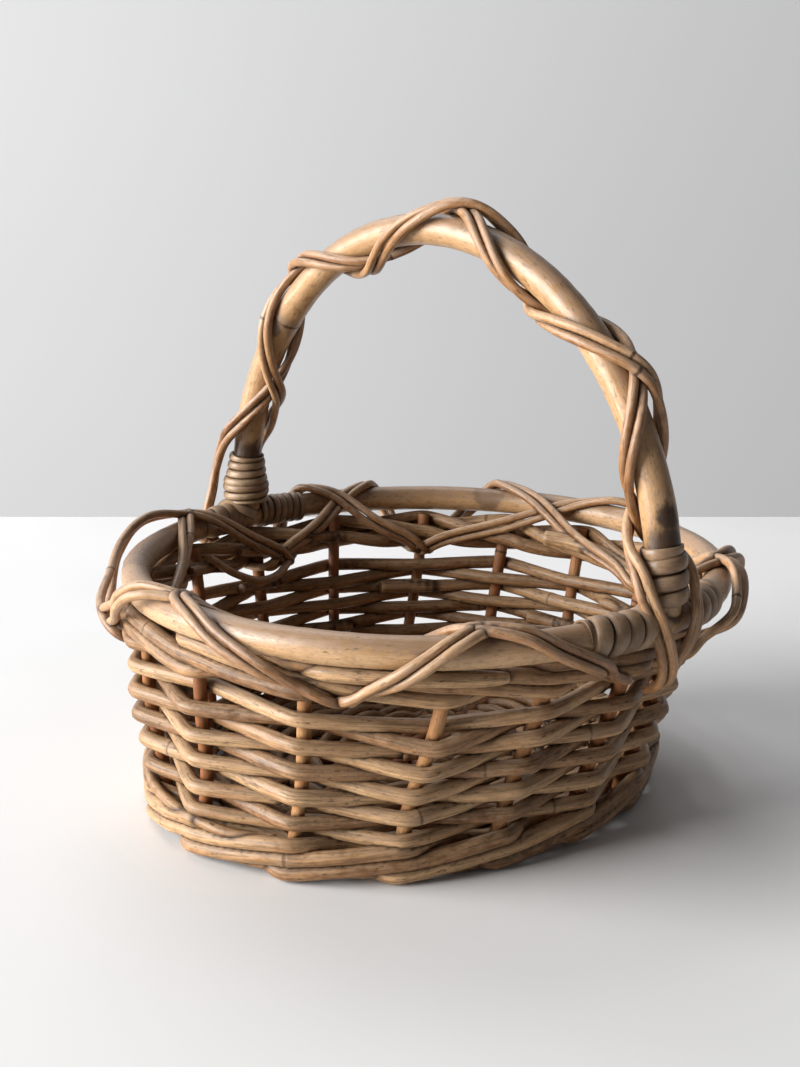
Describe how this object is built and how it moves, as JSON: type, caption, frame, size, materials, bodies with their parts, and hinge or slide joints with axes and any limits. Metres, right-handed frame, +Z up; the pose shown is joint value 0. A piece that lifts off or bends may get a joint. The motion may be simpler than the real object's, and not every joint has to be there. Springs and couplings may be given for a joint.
{
  "type": "woven basket",
  "caption": "Round open basket woven from cane rods on upright stakes, with a thick hoop rim, a fixed arched handle bound to it, and thin rods laced crosswise round rim and handle.",
  "frame": {"origin": "on the surface the basket rests on, under the middle of its overall box", "axes": "+Z up; the handle arch stands in the XZ plane, so +X points to the foot of the handle with the shorter coil; +Y runs across the handle"},
  "size_m": [0.3046, 0.2937, 0.2805],
  "materials": {
    "base_stick": "split cane, dull reddish brown",
    "base_rod": "weathered grey-brown rod",
    "wale_rod": "weathered honey-tan rod, satin",
    "stake_cane": "reddish-brown cane, dull",
    "weaving_rod": "weathered grey-tan rod with lengthways grain",
    "rim_cane": "honey-tan cane with dark nodes, low sheen",
    "handle_cane": "honey-tan cane with a worn patch and nodes, low sheen",
    "binding_strip": "grey-taupe flat cane strip, satin",
    "lacing_rod": "thin brown cane, satin"
  },
  "bodies": {
    "root": {"base_stick_1": "base_stick", "base_stick_2": "base_stick", "base_stick_3": "base_stick", "base_stick_4": "base_stick", "base_ring_1": "base_rod", "base_ring_2": "base_rod", "base_ring_3": "base_rod", "base_ring_4": "base_rod", "base_ring_5": "base_rod", "foot_wale_1": "wale_rod", "foot_wale_2": "wale_rod", "foot_wale_3": "wale_rod", "foot_wale_4": "wale_rod", "stake_01": "stake_cane", "stake_02": "stake_cane", "stake_03": "stake_cane", "stake_04": "stake_cane", "stake_05": "stake_cane", "stake_06": "stake_cane", "stake_07": "stake_cane", "stake_08": "stake_cane", "stake_09": "stake_cane", "stake_10": "stake_cane", "stake_11": "stake_cane", "stake_12": "stake_cane", "stake_13": "stake_cane", "stake_14": "stake_cane", "stake_15": "stake_cane", "stake_16": "stake_cane", "weave_row_01": "weaving_rod", "weave_row_02": "weaving_rod", "weave_row_03": "weaving_rod", "weave_row_04": "weaving_rod", "weave_row_05": "weaving_rod", "weave_row_06": "weaving_rod", "weave_row_07": "weaving_rod", "weave_row_08": "weaving_rod", "weave_row_09": "weaving_rod", "weave_row_10": "weaving_rod", "top_wale_1": "wale_rod", "top_wale_2": "wale_rod", "top_wale_3": "wale_rod", "top_wale_4": "wale_rod", "rim_hoop": "rim_cane", "handle_arch": "handle_cane", "handle_binding_right": "binding_strip", "handle_binding_left": "binding_strip", "rim_binding_right_a": "binding_strip", "rim_binding_right_b": "binding_strip", "rim_binding_left_a": "binding_strip", "rim_binding_left_b": "binding_strip", "rim_lacing_a_1": "lacing_rod", "rim_lacing_a_2": "lacing_rod", "rim_lacing_b_1": "lacing_rod", "rim_lacing_b_2": "lacing_rod", "handle_lacing_a_1": "lacing_rod", "handle_lacing_a_2": "lacing_rod", "handle_lacing_b_1": "lacing_rod", "handle_lacing_b_2": "lacing_rod"}
  },
  "joints": []
}
